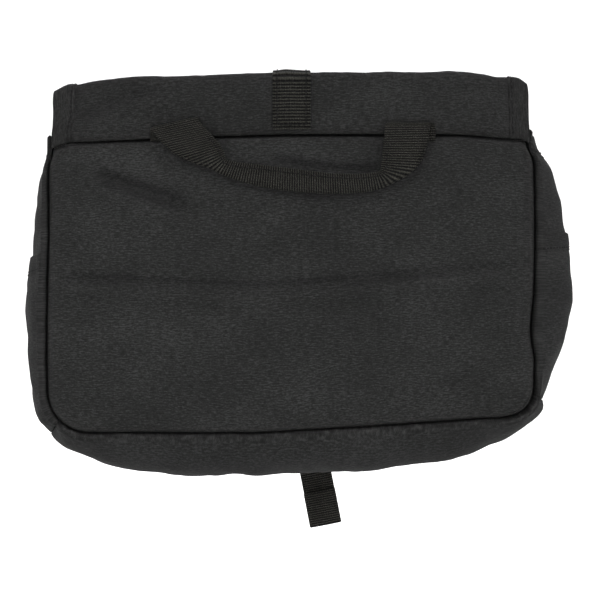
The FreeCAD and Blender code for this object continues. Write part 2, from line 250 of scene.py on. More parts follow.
# The gusset's section, from the rear seam to the front seam: places along it, and the turned-in lips
# at both ends as distances out of the seam (N) and along the depth (Y).
LIP_N = np.array([-2.3, -1.8, -1.3, -0.8])
LIP_Y = np.array([-9.0, -6.2, -3.4, -1.6])
ARC_V = np.concatenate([[0.02, 0.035], np.linspace(0.06, 0.94, 31), [0.965, 0.98]])
SECTION_V = np.concatenate([[0, 0, 0, 0.004], ARC_V, [0.996, 1, 1, 1]])
SECTION_N = np.concatenate([LIP_N, np.full(len(ARC_V), 1.4), LIP_N[::-1]])
SECTION_Y = np.concatenate([LIP_Y, np.zeros(len(ARC_V)), -LIP_Y[::-1]])
GROOVE_N = np.concatenate([[0.0, 0.6, 1.2, 1.2], np.zeros(len(ARC_V) + 4)])
SECTION_SHAPE = 1 - np.abs(2 * SECTION_V - 1) ** 2.3
gusset_waves = ripples(11, 78)
gusset_folds = ripples(23, 27)


def gusset_points(s, bow, stand_off):
    """Outer face of a strip round the bag; s is a grid of lengths, one column for each section place."""
    x, z, nx, nz = seam_line(s)
    depth = -front_y(z)
    right = ease((-x - 120) / 20)
    gape = 0.35 * np.sin(s / 9.0 + 1.0) + 0.3 * np.sin(s / 3.7) + 0.35 * np.sin(s / 21.0)
    lip = GROOVE_N * (right * (0.5 + lower_right_corner(x, z)) + gape * (0.4 + 0.3 * right))
    wave = 1.1 * gusset_waves(s, SECTION_V * depth) + 0.35 * gusset_folds(s, SECTION_V * depth * 0.6)
    corner = bell((s - SPLIT) / 22) + bell((s - FAR_SPLIT) / 26)
    dart = 2.6 * bell((s - SPLIT) / 1.6) + 3.8 * bell((s - FAR_SPLIT) / 2.0)
    dart = dart * (0.15 + 0.85 * bell((SECTION_V - 0.08) / 0.17))
    gather = 1.3 * corner * np.sin(s / 2.9 + SECTION_V * 5) * bell((SECTION_V - 0.12) / 0.22)
    n = SECTION_N + bow * SECTION_SHAPE + (wave + gather - dart) * np.clip(SECTION_SHAPE * 2.2, 0, 1)
    n = n + stand_off * ease(SECTION_SHAPE * 9) + lip + PROUD
    y = SECTION_Y - SECTION_V * depth
    return settle(xyz(x + nx * n, y, z + nz * n))


def edge_distance(x, z, top):
    """How far inside the panels' outline a point is."""
    across = HALF - np.abs(x)
    above = z - LOW
    corner = RADIUS - np.hypot(np.maximum(RADIUS - across, 0), np.maximum(RADIUS - above, 0))
    inside = np.where((across < RADIUS) & (above < RADIUS), corner, np.minimum(across, above))
    return np.minimum(inside, top - z)


# --- Materials ---
class Nodes:
    """Short calls for one material's nodes."""

    def __init__(self, name, roughness, specular):
        self.material = bpy.data.materials.new(name)
        self.material.use_nodes = True
        self.tree = self.material.node_tree
        self.shader = self.tree.nodes["Principled BSDF"]
        self.shader.inputs["Roughness"].default_value = roughness
        self.shader.inputs["Specular IOR Level"].default_value = specular

    def add(self, kind):
        return self.tree.nodes.new(kind)

    def link(self, a, b):
        self.tree.links.new(a, b)

    def uv(self):
        """Cloth coordinates in metres."""
        node = self.add("ShaderNodeUVMap")
        node.uv_map = "cloth"
        return node.outputs[0]

    def scaled(self, vector, scale):
        node = self.add("ShaderNodeMapping")
        node.inputs["Scale"].default_value = scale
        self.link(vector, node.inputs["Vector"])
        return node.outputs[0]

    def split(self, vector):
        node = self.add("ShaderNodeSeparateXYZ")
        self.link(vector, node.inputs[0])
        return node.outputs[0], node.outputs[1]

    def math(self, kind, a, b=None):
        node = self.add("ShaderNodeMath")
        node.operation = kind
        for value, place in ((a, node.inputs[0]), (b, node.inputs[1])):
            if value is None:
                continue
            if isinstance(value, (int, float)):
                place.default_value = value
            else:
                self.link(value, place)
        return node.outputs[0]

    def wave(self, value, length):
        return self.math("SINE", self.math("MULTIPLY", value, 2 * math.pi / length))

    def fitted(self, value, scale, start):
        return self.math("ADD", self.math("MULTIPLY", value, scale), start)

    def total(self, *weighted):
        """The sum of (value, weight) pairs."""
        terms = [self.math("MULTIPLY", value, weight) for value, weight in weighted]
        result = terms[0]
        for term in terms[1:]:
            result = self.math("ADD", result, term)
        return result

    def noise(self, vector, scale, detail=2.0, roughness=0.5):
        node = self.add("ShaderNodeTexNoise")
        node.inputs["Scale"].default_value = scale
        node.inputs["Detail"].default_value = detail
        node.inputs["Roughness"].default_value = roughness
        self.link(vector, node.inputs["Vector"])
        return node.outputs["Fac"]

    def ramp(self, value, stops):
        node = self.add("ShaderNodeValToRGB")
        ramp = node.color_ramp
        while len(ramp.elements) < len(stops):
            ramp.elements.new(0.5)
        for element, (place, colour) in zip(ramp.elements, stops):
            element.position = place
            element.color = (*colour, 1)
        self.link(value, node.inputs[0])
        return node.outputs["Color"]

    def bump(self, height, distance, strength=1.0, before=None):
        node = self.add("ShaderNodeBump")
        node.inputs["Strength"].default_value = strength
        node.inputs["Distance"].default_value = distance
        self.link(height, node.inputs["Height"])
        if before is not None:
            self.link(before, node.inputs["Normal"])
        return node.outputs[0]

    def finished(self, colour, normal, roughness=None):
        self.link(colour, self.shader.inputs["Base Color"])
        self.link(normal, self.shader.inputs["Normal"])
        if roughness is not None:
            self.link(roughness, self.shader.inputs["Roughness"])
        return self.material


def grey(value, tint=(1.0, 1.0, 1.0)):
    return tuple(value * t for t in tint)


def shades(value, tint, *pairs):
    """Colour stops, from each place and its share of the value."""
    return [(place, grey(value * share, tint)) for place, share in pairs]


WARP_PITCH = 0.0011
WEFT_PITCH = 0.0008
CORD_PITCH = 0.0016
TWIST_PITCH = 0.0006


def canvas_material(name, value, tint):
    """Plain-woven canvas: threads about a millimetre apart, slubs along the weft, faint uneven dye."""
    n = Nodes(name, 0.92, 0.05)
    uv = n.uv()
    u, v = n.split(uv)
    weave = n.fitted(n.math("MULTIPLY", n.wave(u, WARP_PITCH), n.wave(v, WEFT_PITCH)), 0.5, 0.5)
    slubs = n.noise(n.scaled(uv, (260, 1150, 1)), 1.0, 3.0, 0.6)
    speckle = n.noise(n.scaled(uv, (700, 1100, 1)), 1.0, 1.0)
    dye = n.noise(n.scaled(uv, (14, 20, 1)), 1.0, 3.0)
    worn = n.noise(n.scaled(uv, (45, 70, 1)), 1.0, 4.0, 0.65)
    tone = n.total((slubs, 0.46), (speckle, 0.24), (dye, 0.14), (worn, 0.10), (weave, 0.06))
    stops = shades(value, tint, (0.40, 0.52), (0.50, 0.92), (0.62, 2.1))
    fine = n.bump(n.total((weave, 0.55), (slubs, 0.9)), 0.00022, 0.7)
    return n.finished(n.ramp(tone, stops), n.bump(worn, 0.0009, 0.5, fine), n.fitted(worn, 0.16, 0.78))


def webbing_material(name, value, tint, pitch=0.0015):
    """Woven strap: ribs across its length and a plain selvedge."""
    n = Nodes(name, 0.75, 0.10)
    uv = n.uv()
    u, v = n.split(uv)
    rib = n.math("ABSOLUTE", n.wave(u, 2 * pitch))
    cord = n.wave(v, CORD_PITCH)
    fuzz = n.noise(n.scaled(uv, (900, 500, 1)), 1.0, 2.0, 0.6)
    patchy = n.noise(n.scaled(uv, (60, 90, 1)), 1.0, 3.0)
    tone = n.total((rib, 0.46), (fuzz, 0.34), (patchy, 0.20), (cord, 0.03))
    stops = shades(value, tint, (0.36, 0.03), (0.56, 0.7), (0.72, 2.7))
    threads = n.math("ADD", cord, n.math("MULTIPLY", fuzz, 1.5))
    height = n.math("ADD", rib, n.math("MULTIPLY", threads, 0.18))
    return n.finished(n.ramp(tone, stops), n.bump(height, 0.0016, 1.0), n.fitted(patchy, 0.2, 0.6))


def thread_material():
    """Twisted sewing thread."""
    n = Nodes("sewing_thread", 0.7, 0.05)
    tone = n.fitted(n.wave(n.split(n.uv())[0], TWIST_PITCH), 0.5, 0.5)
    stops = [(0.0, grey(0.003)), (1.0, grey(0.010))]
    return n.finished(n.ramp(tone, stops), n.bump(tone, 0.00008, 0.6))


def plastic_material():
    """Moulded nylon with a fine matt grain and faint scuffs."""
    n = Nodes("moulded_plastic", 0.5, 0.06)
    coords = n.add("ShaderNodeTexCoord").outputs["Object"]
    grain = n.noise(coords, 2600.0, 2.0)
    scuffs = n.noise(n.scaled(coords, (160, 160, 520)), 1.0, 4.0, 0.7)
    stops = [(0.3, grey(0.0036)), (0.7, grey(0.0085))]
    return n.finished(n.ramp(scuffs, stops), n.bump(grain, 0.00006, 0.5), n.fitted(scuffs, 0.3, 0.34))


CANVAS = canvas_material("canvas_cloth", 0.0125, (1.0, 1.0, 0.985))
# A darker copy of the canvas on the flap: painted shade standing in for the dimmer light on the bag's top.
FLAP_SHADED_CANVAS = canvas_material("flap_canvas_painted_shade", 0.0110, (1.0, 1.0, 0.985))
# A darker copy of the canvas on every hem: painted shade standing in for the shading inside the folded
# hems.
HEM_SHADED_CANVAS = canvas_material("canvas_hem_painted_shade", 0.0110, (1.0, 1.0, 0.98))
WEBBING = webbing_material("strap_webbing", 0.0080, (1.03, 1.0, 0.84))
# A lighter copy of the strap webbing on the hanging tail: painted light standing in for the light the bag
# above keeps off it.
TAIL_WEBBING_PAINTED_LIGHT = webbing_material("tail_webbing_painted_light", 0.0118, (1.03, 1.0, 0.84))
WIDE_RIBS = webbing_material("flap_webbing", 0.0076, (1.03, 1.0, 0.84), 0.0021)
TAPE = webbing_material("binding_tape_cloth", 0.0170, (1.0, 1.0, 0.97), 0.0009)
THREAD = thread_material()
PLASTIC = plastic_material()


# --- Building pieces ---
def add_object(name, data):
    item = bpy.data.objects.new(name, data)
    bpy.context.scene.collection.objects.link(item)
    return item


def mesh_piece(name, points, faces, uv, material):
    """A new object from points in millimetres."""
    mesh = bpy.data.meshes.new(name)
    mesh.from_pydata((np.asarray(points) * MM).tolist(), [], faces)
    mesh.validate()
    layer = mesh.uv_layers.new(name="cloth")
    index = np.zeros(len(mesh.loops), np.int32)
    mesh.loops.foreach_get("vertex_index", index)
    layer.data.foreach_set("uv", (np.asarray(uv)[index] * MM).astype(np.float32).ravel())
    mesh.polygons.foreach_set("use_smooth", np.ones(len(mesh.polygons), bool))
    mesh.materials.append(material)
    return add_object(name, mesh)


def grid_normals(p, flip):
    normal = unit(np.cross(np.gradient(p, axis=0), np.gradient(p, axis=1)))
    return -normal if flip else normal


def cloth(name, p, uv, thickness, material, flip=False, open_sides=(), crown=0.35):
    """A sheet with thickness under a grid of points on its outer face. The face looks along rows cross
    columns, or the other way with flip. Its edges are rounded, apart from the open sides, where the
    next piece goes on from the same points."""
    rows, cols = p.shape[:2]
    normal = grid_normals(p, flip)
    inner = p - normal * np.asarray(thickness)[..., None]
    grid = np.arange(rows * cols).reshape(rows, cols)
    count = rows * cols
    a, b, c, d = grid[:-1, :-1], grid[1:, :-1], grid[1:, 1:], grid[:-1, 1:]
    outer_faces = np.stack([a, b, c, d], axis=-1).reshape(-1, 4)
    inner_faces = outer_faces[:, ::-1] + count

    sides = {
        "first_col": (grid[:, 0], grid[:, 1]),
        "last_row": (grid[-1, :], grid[-2, :]),
        "last_col": (grid[::-1, -1], grid[::-1, -2]),
        "first_row": (grid[0, ::-1], grid[1, ::-1]),
    }
    ring, before, shut = [], [], []
    for side, (edge, next_in) in sides.items():
        ring += list(edge[:-1])
        before += list(next_in[:-1])
        shut += [side not in open_sides] * (len(edge) - 1)
    flat, flat_inner, flat_uv = p.reshape(-1, 3), inner.reshape(-1, 3), uv.reshape(-1, 2)
    outward = unit(flat[ring] - flat[before])
    gap = np.linalg.norm(flat[ring] - flat_inner[ring], axis=-1, keepdims=True)
    middle = (flat[ring] + flat_inner[ring]) / 2 + outward * gap * crown
    rim = []
    total = len(ring)
    for k in range(total):
        if not shut[k]:
            continue
        j = (k + 1) % total
        o0, o1, m0, m1 = ring[k], ring[j], 2 * count + k, 2 * count + j
        rim.append([o1, o0, m0, m1])
        rim.append([m1, m0, o0 + count, o1 + count])
    faces = np.concatenate([outer_faces, inner_faces, np.array(rim).reshape(-1, 4)])
    if flip:
        faces = faces[:, ::-1]
    points = np.concatenate([flat, flat_inner, middle])
    uvs = np.concatenate([flat_uv, flat_uv, flat_uv[ring]])
    return mesh_piece(name, points, faces.tolist(), uvs, material)


def grid_uv(u, v):
    return np.stack(np.broadcast_arrays(u, v), axis=-1).astype(float)


def resample(line, normal, step, lead):
    """Evenly spaced points on a line, with the direction ahead and the normal at each."""
    length = lengths_along(line)
    places = np.arange(lead, length[-1] - lead, step)
    at = read_at(places, length, line)
    return at, read_at(places + 0.5, length, line) - at, read_at(places, length, normal)


def stitches(name, rows, step=3.3, length=2.5, width=0.42):
    """Lockstitches, each a short thread that dips into the cloth at both ends. rows are (line, normal)."""
    along = np.array([-0.5, -0.38, -0.15, 0.15, 0.38, 0.5])
    swell = np.array([0.25, 0.8, 1.0, 1.0, 0.8, 0.25])
    rise = np.array([-0.7, 0.1, 0.55, 0.55, 0.1, -0.7])
    corners = 6
    turn = np.arange(corners) * 2 * math.pi / corners
    points, faces, uv = [], [], []
    for line, normal in rows:
        at, ahead, up = resample(np.asarray(line, float), np.asarray(normal, float), step, step / 2)
        for c, d, n in zip(at, ahead, up):
            d = unit(d)
            n = unit(n - d * (n @ d))
            side = np.cross(d, n)
            start = len(points)
            for a, s, r in zip(along, swell, rise):
                centre = c + d * a * length + n * r * width
                for t in turn:
                    points.append(centre + (side * math.cos(t) + n * math.sin(t) * 0.8) * s * width)
                    uv.append((a * length, t * width))
            for ring in range(len(along) - 1):
                for k in range(corners):
                    j = (k + 1) % corners
                    p, q = start + ring * corners, start + (ring + 1) * corners
                    faces.append((p + k, p + j, q + j, q + k))
            faces.append(tuple(start + k for k in reversed(range(corners))))
            last = start + (len(along) - 1) * corners
            faces.append(tuple(last + k for k in range(corners)))
    return mesh_piece(name, points, faces, uv, THREAD)


def on_body(piece, body, slot, *nodes):
    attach(piece, body)
    if nodes:
        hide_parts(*nodes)


def bends(piece, a, b, start, end, slot, *nodes):
    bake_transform(piece)
    if nodes:
        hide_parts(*nodes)


def grid_row(p, normal, row=None, col=None, lift=0.0):
    """A line of the grid and its normals, for stitches."""
    line = p[row] if row is not None else p[:, col]
    up = normal[row] if row is not None else normal[:, col]
    return line + up * lift, up


# --- Back and front panels ---
def panel_grid(top, fine):
    z = spaced(top, LOW + RADIUS, 2.2, fine)
    angle = np.linspace(0, math.pi / 2, 19)[1:]
    rows = np.concatenate([z, LOW + RADIUS - RADIUS * np.sin(angle)])
    width = np.concatenate([np.full(len(z), HALF), HALF - RADIUS + RADIUS * np.cos(angle)])
    across = spaced(-HALF, HALF, 2.3, (HALF - 1.5, 1.5 - HALF)) / HALF
    return width[:, None] * across[None, :], rows[:, None] + 0 * across[None, :]


BACK_CREASES = [
    ([(-142, -85), (-95, -88), (-40, -93), (20, -97), (60, -95), (105, -92), (152, -90)],
     [(-2.9, 0, 2.8), (2.5, -7, 6), (0.7, 9, 7)]),
    ([(-60, -22), (-28, -22.5), (0, -18.5), (16, -16)], [(-4.2, 0, 2.6)]),
    ([(62, -47), (80, -38), (101, -31), (128, -19)], [(-7.0, 0, 5), (3.2, -10, 7)]),
    ([(-146, -150), (-118, -158), (-88, -172)], [(-1.1, 0, 4), (0.7, 8, 6)]),
    ([(72, -152), (104, -160), (140, -166)], [(-0.8, 0, 5), (0.5, 9, 6)]),
]
OPEN_TOP = 1e6  # the front panel has a lip and no seam at its top
panel_waves = ripples(3, 120)
panel_small = ripples(8, 34)


def back_relief(x, z):
    """Height of the back panel's cloth above its seam plane."""
    d = edge_distance(x, z, 0)
    side = ease((-x - 120) / 20)
    roll = 3.2 + 1.4 * lower_right_corner(x, z)
    y = -(7.0 + 1.5 * side) * (1 - ease(d / roll)) ** 1.8 + 1.2 * ease(d / 24)
    bead = side * ease((z + 95) / 20) * ease((-z - 4) / 10)
    y = y + bead * (0.9 * bell((d - 4.6) / 1.5) - 1.3 * bell((d - 7.4) / 1.3))
    inside = ease(d / 16)
    y = y + inside * (0.95 * panel_waves(x, z) + 0.22 * panel_small(x * 0.7, z))
    y = y + creases(x, z, BACK_CREASES)
    tug = np.sin(x / 4.3 + 2.1 * np.sin(x / 29)) * bell(d / 6)
    tug = tug + np.sin(z / 4.9 + 1.7 * np.sin(z / 23)) * bell(d / 7)
    return y + 0.28 * tug * ease(d / 3)


def build_panels():
    x, z = panel_grid(0.0, (-1.6, -92.0))
    points = settle(xyz(x, back_relief(x, z), z))
    back = cloth("back_panel_cloth", points, grid_uv(x, z), PANEL_CLOTH, CANVAS, flip=True)
    on_body(back, "bag", "canvas", "back_panel")

    x, z = panel_grid(LIP_Z, (LIP_Z - SEWN,))
    d = edge_distance(x, z, OPEN_TOP)
    relief = 4.4 * (1 - ease(d / 3.4)) ** 1.8 - 1.2 * ease(d / 20)
    relief = relief - ease(d / 16) * 0.8 * panel_waves(z + 40, x) + 0.4 * bell((z - LIP_Z + SEWN) / 0.9)
    points = settle(xyz(x, front_y(z) + relief, z))
    front = cloth("front_panel_cloth", points, grid_uv(x, z), PANEL_CLOTH, CANVAS)
    on_body(front, "bag", "canvas", "front_panel")
    normal = grid_normals(points, False)
    row = int(np.argmin(np.abs(z[:, 0] - LIP_Z + SEWN)))
    sewn = stitches("mouth_stitching_front", [grid_row(points, normal, row=row, lift=0.1)])
    on_body(sewn, "bag", "canvas_hem")

    band = z[:, 0] >= LIP_Z - HEM
    inner = points[band] - normal[band] * 1.7
    hem = cloth("mouth_hem_front_fold", inner, grid_uv(x, z)[band], 1.1, HEM_SHADED_CANVAS)
    on_body(hem, "bag", "canvas_hem", "mouth_hem_front")


# --- Gussets, side pockets and seam tapes ---
def outer_bow(s):
    """How far the outermost cloth bows out: the pocket where there is one."""
    return smooth_knots(s, OUTER_BOW, 9)


def gusset_bow(s):
    return outer_bow(s) - smooth_knots(s, POCKET_TAKES, 5)


def mirrored_run(s, side):
    """The length along the seam, from the length down one side."""
    return s if side > 0 else 2 * HALF_RUN - s


def strip_uv(s):
    return grid_uv(SECTION_V * STRIP_DEPTH, s)


def side_split(side):
    """Length down the side to where its gusset meets the bottom's."""
    return SPLIT if side > 0 else SPLIT_RIGHT


def bag_strip(name, s, bow, stand_off, thickness, material, node, **options):
    """A piece round the bag that takes node's place, and its outer points."""
    points = gusset_points(s, bow, stand_off)
    piece = cloth(name, points, strip_uv(s), thickness, material, **options)
    on_body(piece, "bag", "canvas" if material is CANVAS else "canvas_hem", node)
    return points


def hem_seam(name, points, flip, row, lift):
    sewn = stitches(name, [grid_row(points, grid_normals(points, flip), row=row, lift=lift)])
    on_body(sewn, "bag", "canvas_hem")


def build_side(side, name):
    flip = side > 0
    split = side_split(side)
    mouth = (LIP_Z - MOUTH_REAR_Z) * (1 - SECTION_V) + MOUTH_SAG * np.sin(math.pi * SECTION_V)
    share = np.linspace(0, 1, 84)[:, None]
    run = mouth + (split - 0.4 - mouth) * share
    s = mirrored_run(run, side)
    node = f"side_gusset_{name}"
    bag_strip(f"side_gusset_cloth_{name}", s, gusset_bow(s), 0.0, CLOTH, CANVAS, node, flip=flip)

    share = np.array([-0.06, 0.0, 0.1, 0.3, 0.55, 0.8, 0.9, 0.97, 1.04])[:, None]
    run = mouth + HEM * share
    s = mirrored_run(run, side)
    proud = 0.55 - 0.35 * bell((share - 0.86) / 0.07)
    points = bag_strip(
        f"mouth_hem_fold_{name}", s, gusset_bow(s) + proud, 0.0, 2.6, HEM_SHADED_CANVAS, f"mouth_hem_{name}",
        flip=flip, crown=0.5,
    )
    hem_seam(f"mouth_stitching_{name}", points, flip, row=5, lift=0.1)


def pocket_run(side):
    """Length along the seam of the pocket's top: it has ridden up a little at -X."""
    return LIP_Z - POCKET_Z + (3 if side > 0 else -9)


def build_pocket(side, name):
    flip = side > 0
    split = side_split(side)
    top = pocket_run(side) + 2.2 * side * np.sin(SECTION_V * math.pi)
    start = top + HEM * 0.85
    run = start + (split - 0.2 - start) * np.linspace(0, 1, 52)[:, None]
    s = mirrored_run(run, side)
    stand_off = 0.9 - 1.0 * ease((run - split + 12) / 12)
    node = f"side_pocket_{name}"
    bag_strip(f"side_pocket_cloth_{name}", s, outer_bow(s), stand_off, CLOTH, CANVAS, node, flip=flip)

    share = np.array([0.0, 0.06, 0.2, 0.45, 0.65, 0.74, 0.8, 0.86, 0.94, 1.0])[:, None]
    run = top + HEM * share
    s = mirrored_run(run, side)
    top_bow = gusset_bow(s) + 0.6
    bow = top_bow + (np.maximum(outer_bow(s), top_bow) - top_bow) * ease(share * 1.3)
    flare = 0.3 * ease(share * 2) - 0.5 * bell((share - 0.8) / 0.05)
    points = bag_strip(
        f"pocket_hem_fold_{name}", s, bow + flare, 1.0, 2.3, HEM_SHADED_CANVAS, f"pocket_hem_{name}",
        flip=flip, crown=0.5,
    )
    hem_seam(f"pocket_stitching_{name}", points, flip, row=6, lift=0.12)


def build_bottom():
    s = np.linspace(SPLIT + 0.4, FAR_SPLIT - 0.4, 170)[:, None] + 0 * SECTION_V
    points = gusset_points(s, outer_bow(s), 0.4)
    bottom = cloth("bottom_gusset_cloth", points, strip_uv(s)[..., ::-1], CLOTH, CANVAS, flip=True)
    on_body(bottom, "bag", "canvas", "bottom_gusset")


def build_tape(name, node, top_run, y_of, out):
    """Bias tape over the seam allowances, inside the bag."""
    s = np.linspace(top_run, 2 * HALF_RUN - top_run, 260)[:, None]
    inset = np.array([1.6, 2.2, 4.0, 6.0, 8.0, 9.0])
    crowned = np.array([0.3, 0.9, 1.2, 1.15, 0.9, 0.3])
    x, z, nx, nz = seam_line(s + 0 * inset)
    px, pz = x - nx * inset, z - nz * inset
    pucker = 0.25 * np.sin(s / 3.1) * np.array([0, 0.4, 1, 1, 0.5, 0.2])
    points = xyz(px, y_of(pz) + out * (0.4 + crowned + pucker), pz)
    tape = cloth(name, settle(points), grid_uv(s, inset), 0.9, TAPE, flip=out < 0)
    on_body(tape, "bag", "binding_tape", node)


# --- Flap ---
def flap_profile():
    """The flap's outer line in the YZ plane, with soft folds: lengths, points and outward directions."""
    slope = unit(np.array([front_y(FLAP_END_Z) - front_y(FOLD_Z), FLAP_END_Z - FOLD_Z]))
    r = 4.5
    turned = math.pi / 2 - math.atan(SLOPE)
    rear, front = np.array([0.0, FOLD_Z]), np.array([FOLD_Y, FOLD_Z])
    reach = r * math.tan(turned / 2)
    end = front + slope * (FOLD_Z - FLAP_END_Z) / abs(slope[1])
    line = [np.array([0.0, 0.0])]
    for a in np.linspace(0, math.pi / 2, 9):
        line.append(rear + np.array([-r + r * math.cos(a), -r + r * math.sin(a)]))
    centre = front + np.array([reach, -r])
    for a in np.linspace(0, turned, 9):
        line.append(centre + r * np.array([-math.sin(a), math.cos(a)]))
    line.append(end)
    line = np.array(line)
    length = lengths_along(line)
    dense = np.linspace(0, length[-1], 900)
    y, z = read_at(dense, length, line).T
    dy, dz = np.gradient(y), np.gradient(z)
    size = np.hypot(dy, dz)
    return dense, y, z, dz / size, -dy / size


PROFILE = flap_profile()
FLAP_RUN = PROFILE[0][-1]
ROOF_CUT = 70.0  # where the rear and front pieces of the flap meet
WEBBING_SHIFT = -0.4
WEBBING_GAP = 14  # half the gap in the bottom hem's stitches, behind the webbing
HEM_LINE = HALF_FLAP - HEM - 0.5
FLAP_CREASES = [
    ([(70, 33), (98, 28), (120, 23), (140, 9)], [(-2.6, 0, 3.2), (1.4, -7, 4.5)]),
    ([(-132, 30), (-100, 27), (-62, 33)], [(-1.5, 0, 3.6)]),
]
flap_waves = ripples(31, 95)
flap_small = ripples(37, 24)


def hem_wander(side, q):
    """How far the side hem's stitch line strays."""
    left = 1.8 * np.sin(q / 8.5 + 0.6) + 1.0 * np.sin(q / 3.9)
    right = 0.35 * np.sin(q / 9.0)
    return np.where(side > 0, 1.6 + left * 0.8, right + 3.0)


def flap_points(x, q, out):
    """A point by distance across and along the flap, and height off its outer face."""
    run, py, pz, ny, nz = PROFILE
    y, z = np.interp(q, run, py), np.interp(q, run, pz)
    dy, dz = np.interp(q, run, ny), np.interp(q, run, nz)
    side = np.sign(x)
    edge = np.abs(x)
    line = HEM_LINE + hem_wander(side, q)
    waves = 0.75 * flap_waves(x, q) + 0.25 * flap_small(x, q * 0.8)
    loose = ease(q / 12) * ease((HALF_FLAP + 8 - edge) / 20)
    relief = waves * loose - 2.0 * (1 - ease(q / 4)) ** 1.3 + 0.9 * ease(q / 14)
    roof = np.sin(math.pi * np.clip((q - FOLD_Z) / -FOLD_Y, 0, 1))
    relief = relief - 2.6 * roof ** 2 * np.cos(x / HALF_FLAP * 1.3)
    fall = ease((q - FOLD_Z + FOLD_Y) / 12)
    relief = relief + fall * (0.8 - 2.6 * ease((edge - 105) / 45) ** 2)
    pucker = np.sin(q / 2.0 + 1.3 * np.sin(q / 11)) * np.where(side > 0, 0.55, 0.22)
    relief = relief + pucker * bell((edge - line - 4) / 6)
    relief = relief - 0.5 * bell((q - FLAP_RUN + SEWN) / 0.9)
    gathers = np.sin(x / 3.7 + 1.9 * np.sin(x / 31)) * bell((q - 5) / 7)
    relief = relief + 0.3 * gathers + creases(x, q, FLAP_CREASES)
    h = relief + out + PROUD
    p = xyz(x, y + dy * h, z + dz * h)
    left_edge = 1.2 * ease((edge - 120) / 30) * np.sin(q / 13 - 0.6) - 0.2
    right_edge = 0.5 * np.sin(q / 17) - 2.0
    p[..., 0] -= side * ease((edge - 110) / 40) * np.where(side > 0, left_edge, right_edge)
    high = ease((p[..., 2] - 4) / 28)
    drop = 4.6 * np.clip((x - 108) / 43, 0, 1) ** 1.4 + 2.8 * np.clip((-x - 138) / 13, 0, 1) ** 2
    p[..., 2] += -0.8 * high - drop * high
    return settle(p)


def swap_uv(piece):
    """Turns the cloth coordinates by a right angle, so that ribs lie across the strap."""
    layer = piece.data.uv_layers["cloth"].data
    uv = np.zeros(len(layer) * 2, np.float32)
    layer.foreach_get("uv", uv)
    layer.foreach_set("uv", uv.reshape(-1, 2)[:, ::-1].ravel())


def flap_seam(x, q, out, under):
    """A line of stitches on the flap, with its normals from a layer under it."""
    line = flap_points(x, q, out)
    return line, line - flap_points(x, q, under)


def strip(name, x, q, out, thickness, material, **options):
    """A piece of cloth on the flap, and its outer points."""
    xs, qs = np.meshgrid(x, q) if np.ndim(x) == 1 else (x, q)
    points = flap_points(xs, qs, out)
    return cloth(name, points, grid_uv(xs, qs), thickness, material, **options), points


REAR_FOLD = ((0, 0, FOLD_Z - 9), (0, -11, FOLD_Z))
FRONT_FOLD = ((0, FOLD_Y + 11, FOLD_Z), (0, FOLD_Y, FOLD_Z - 9))


def across_rear(piece, slot, *nodes):
    return bends(piece, "bag", "flap_roof", *REAR_FOLD, slot, *nodes)


def across_front(piece, slot, *nodes):
    return bends(piece, "flap_roof", "flap_fall", *FRONT_FOLD, slot, *nodes)


def build_flap():
    x = spaced(-HALF_FLAP, HALF_FLAP, 2.5, (-HEM_LINE, HEM_LINE))
    rear_q = spaced(0, ROOF_CUT, 2.0, (FOLD_Z - 3, FOLD_Z + 3))
    front_q = spaced(ROOF_CUT, FLAP_RUN, 2.6, (FOLD_Z - FOLD_Y - 5, FLAP_RUN - SEWN))
    parts = (
        ("rear", rear_q, across_rear, "last_row", ("flap_riser", "flap_top")),
        ("front", front_q, across_front, "first_row", ("flap_front",)),
    )
    for part, q, across, cut, nodes in parts:
        sheet, _ = strip(f"flap_cloth_{part}", x, q, 0.0, CLOTH, FLAP_SHADED_CANVAS, open_sides=(cut,))
        across(sheet, "canvas", *nodes)

    across_hem = np.array([0.0, 0.07, 0.16, 0.24, 0.4, 0.6, 0.8, 0.95, 1.0])
    for side, name in SIDES:
        for part, q, across, cut, nodes in parts:
            qs = q[q < FLAP_RUN - 0.5][:, None] + 0 * across_hem
            inner_edge = HEM_LINE + hem_wander(side, qs) - 2.2
            xs = side * (inner_edge + (HALF_FLAP + 0.5 - inner_edge) * across_hem)
            proud = 0.85 - 0.65 * bell((across_hem - 0.16) / 0.06)
            fold, points = strip(
                f"flap_side_hem_{part}_{name}", xs, qs, proud, 1.5, HEM_SHADED_CANVAS,
                open_sides=(cut,), flip=side < 0, crown=0.5,
            )
            swap_uv(fold)
            across(fold, "canvas_hem", *[f"{node}_hem_{name}" for node in nodes])
            up = grid_normals(points, side < 0)
            row = grid_row(points[1:-1], up[1:-1], col=2, lift=0.1)
            across(stitches(f"flap_side_stitching_{part}_{name}", [row]), "canvas_hem")

    hem_q = spaced(FLAP_RUN - HEM, FLAP_RUN - 0.3, 2.0)
    fold, _ = strip("flap_bottom_hem_fold", x[1:-1], hem_q, -CLOTH + 0.1, 0.9, HEM_SHADED_CANVAS)
    on_body(fold, "flap_fall", "canvas_hem", "flap_bottom_hem")
    across_x = np.linspace(-HALF_FLAP + 2, HALF_FLAP - 2, 200)
    line, up = flap_seam(across_x, np.full(200, FLAP_RUN - SEWN), 0.1, -0.9)
    rows = [(line[part], up[part]) for part in (across_x > WEBBING_GAP, across_x < -WEBBING_GAP)]
    on_body(stitches("flap_bottom_stitching", rows), "flap_fall", "canvas_hem")


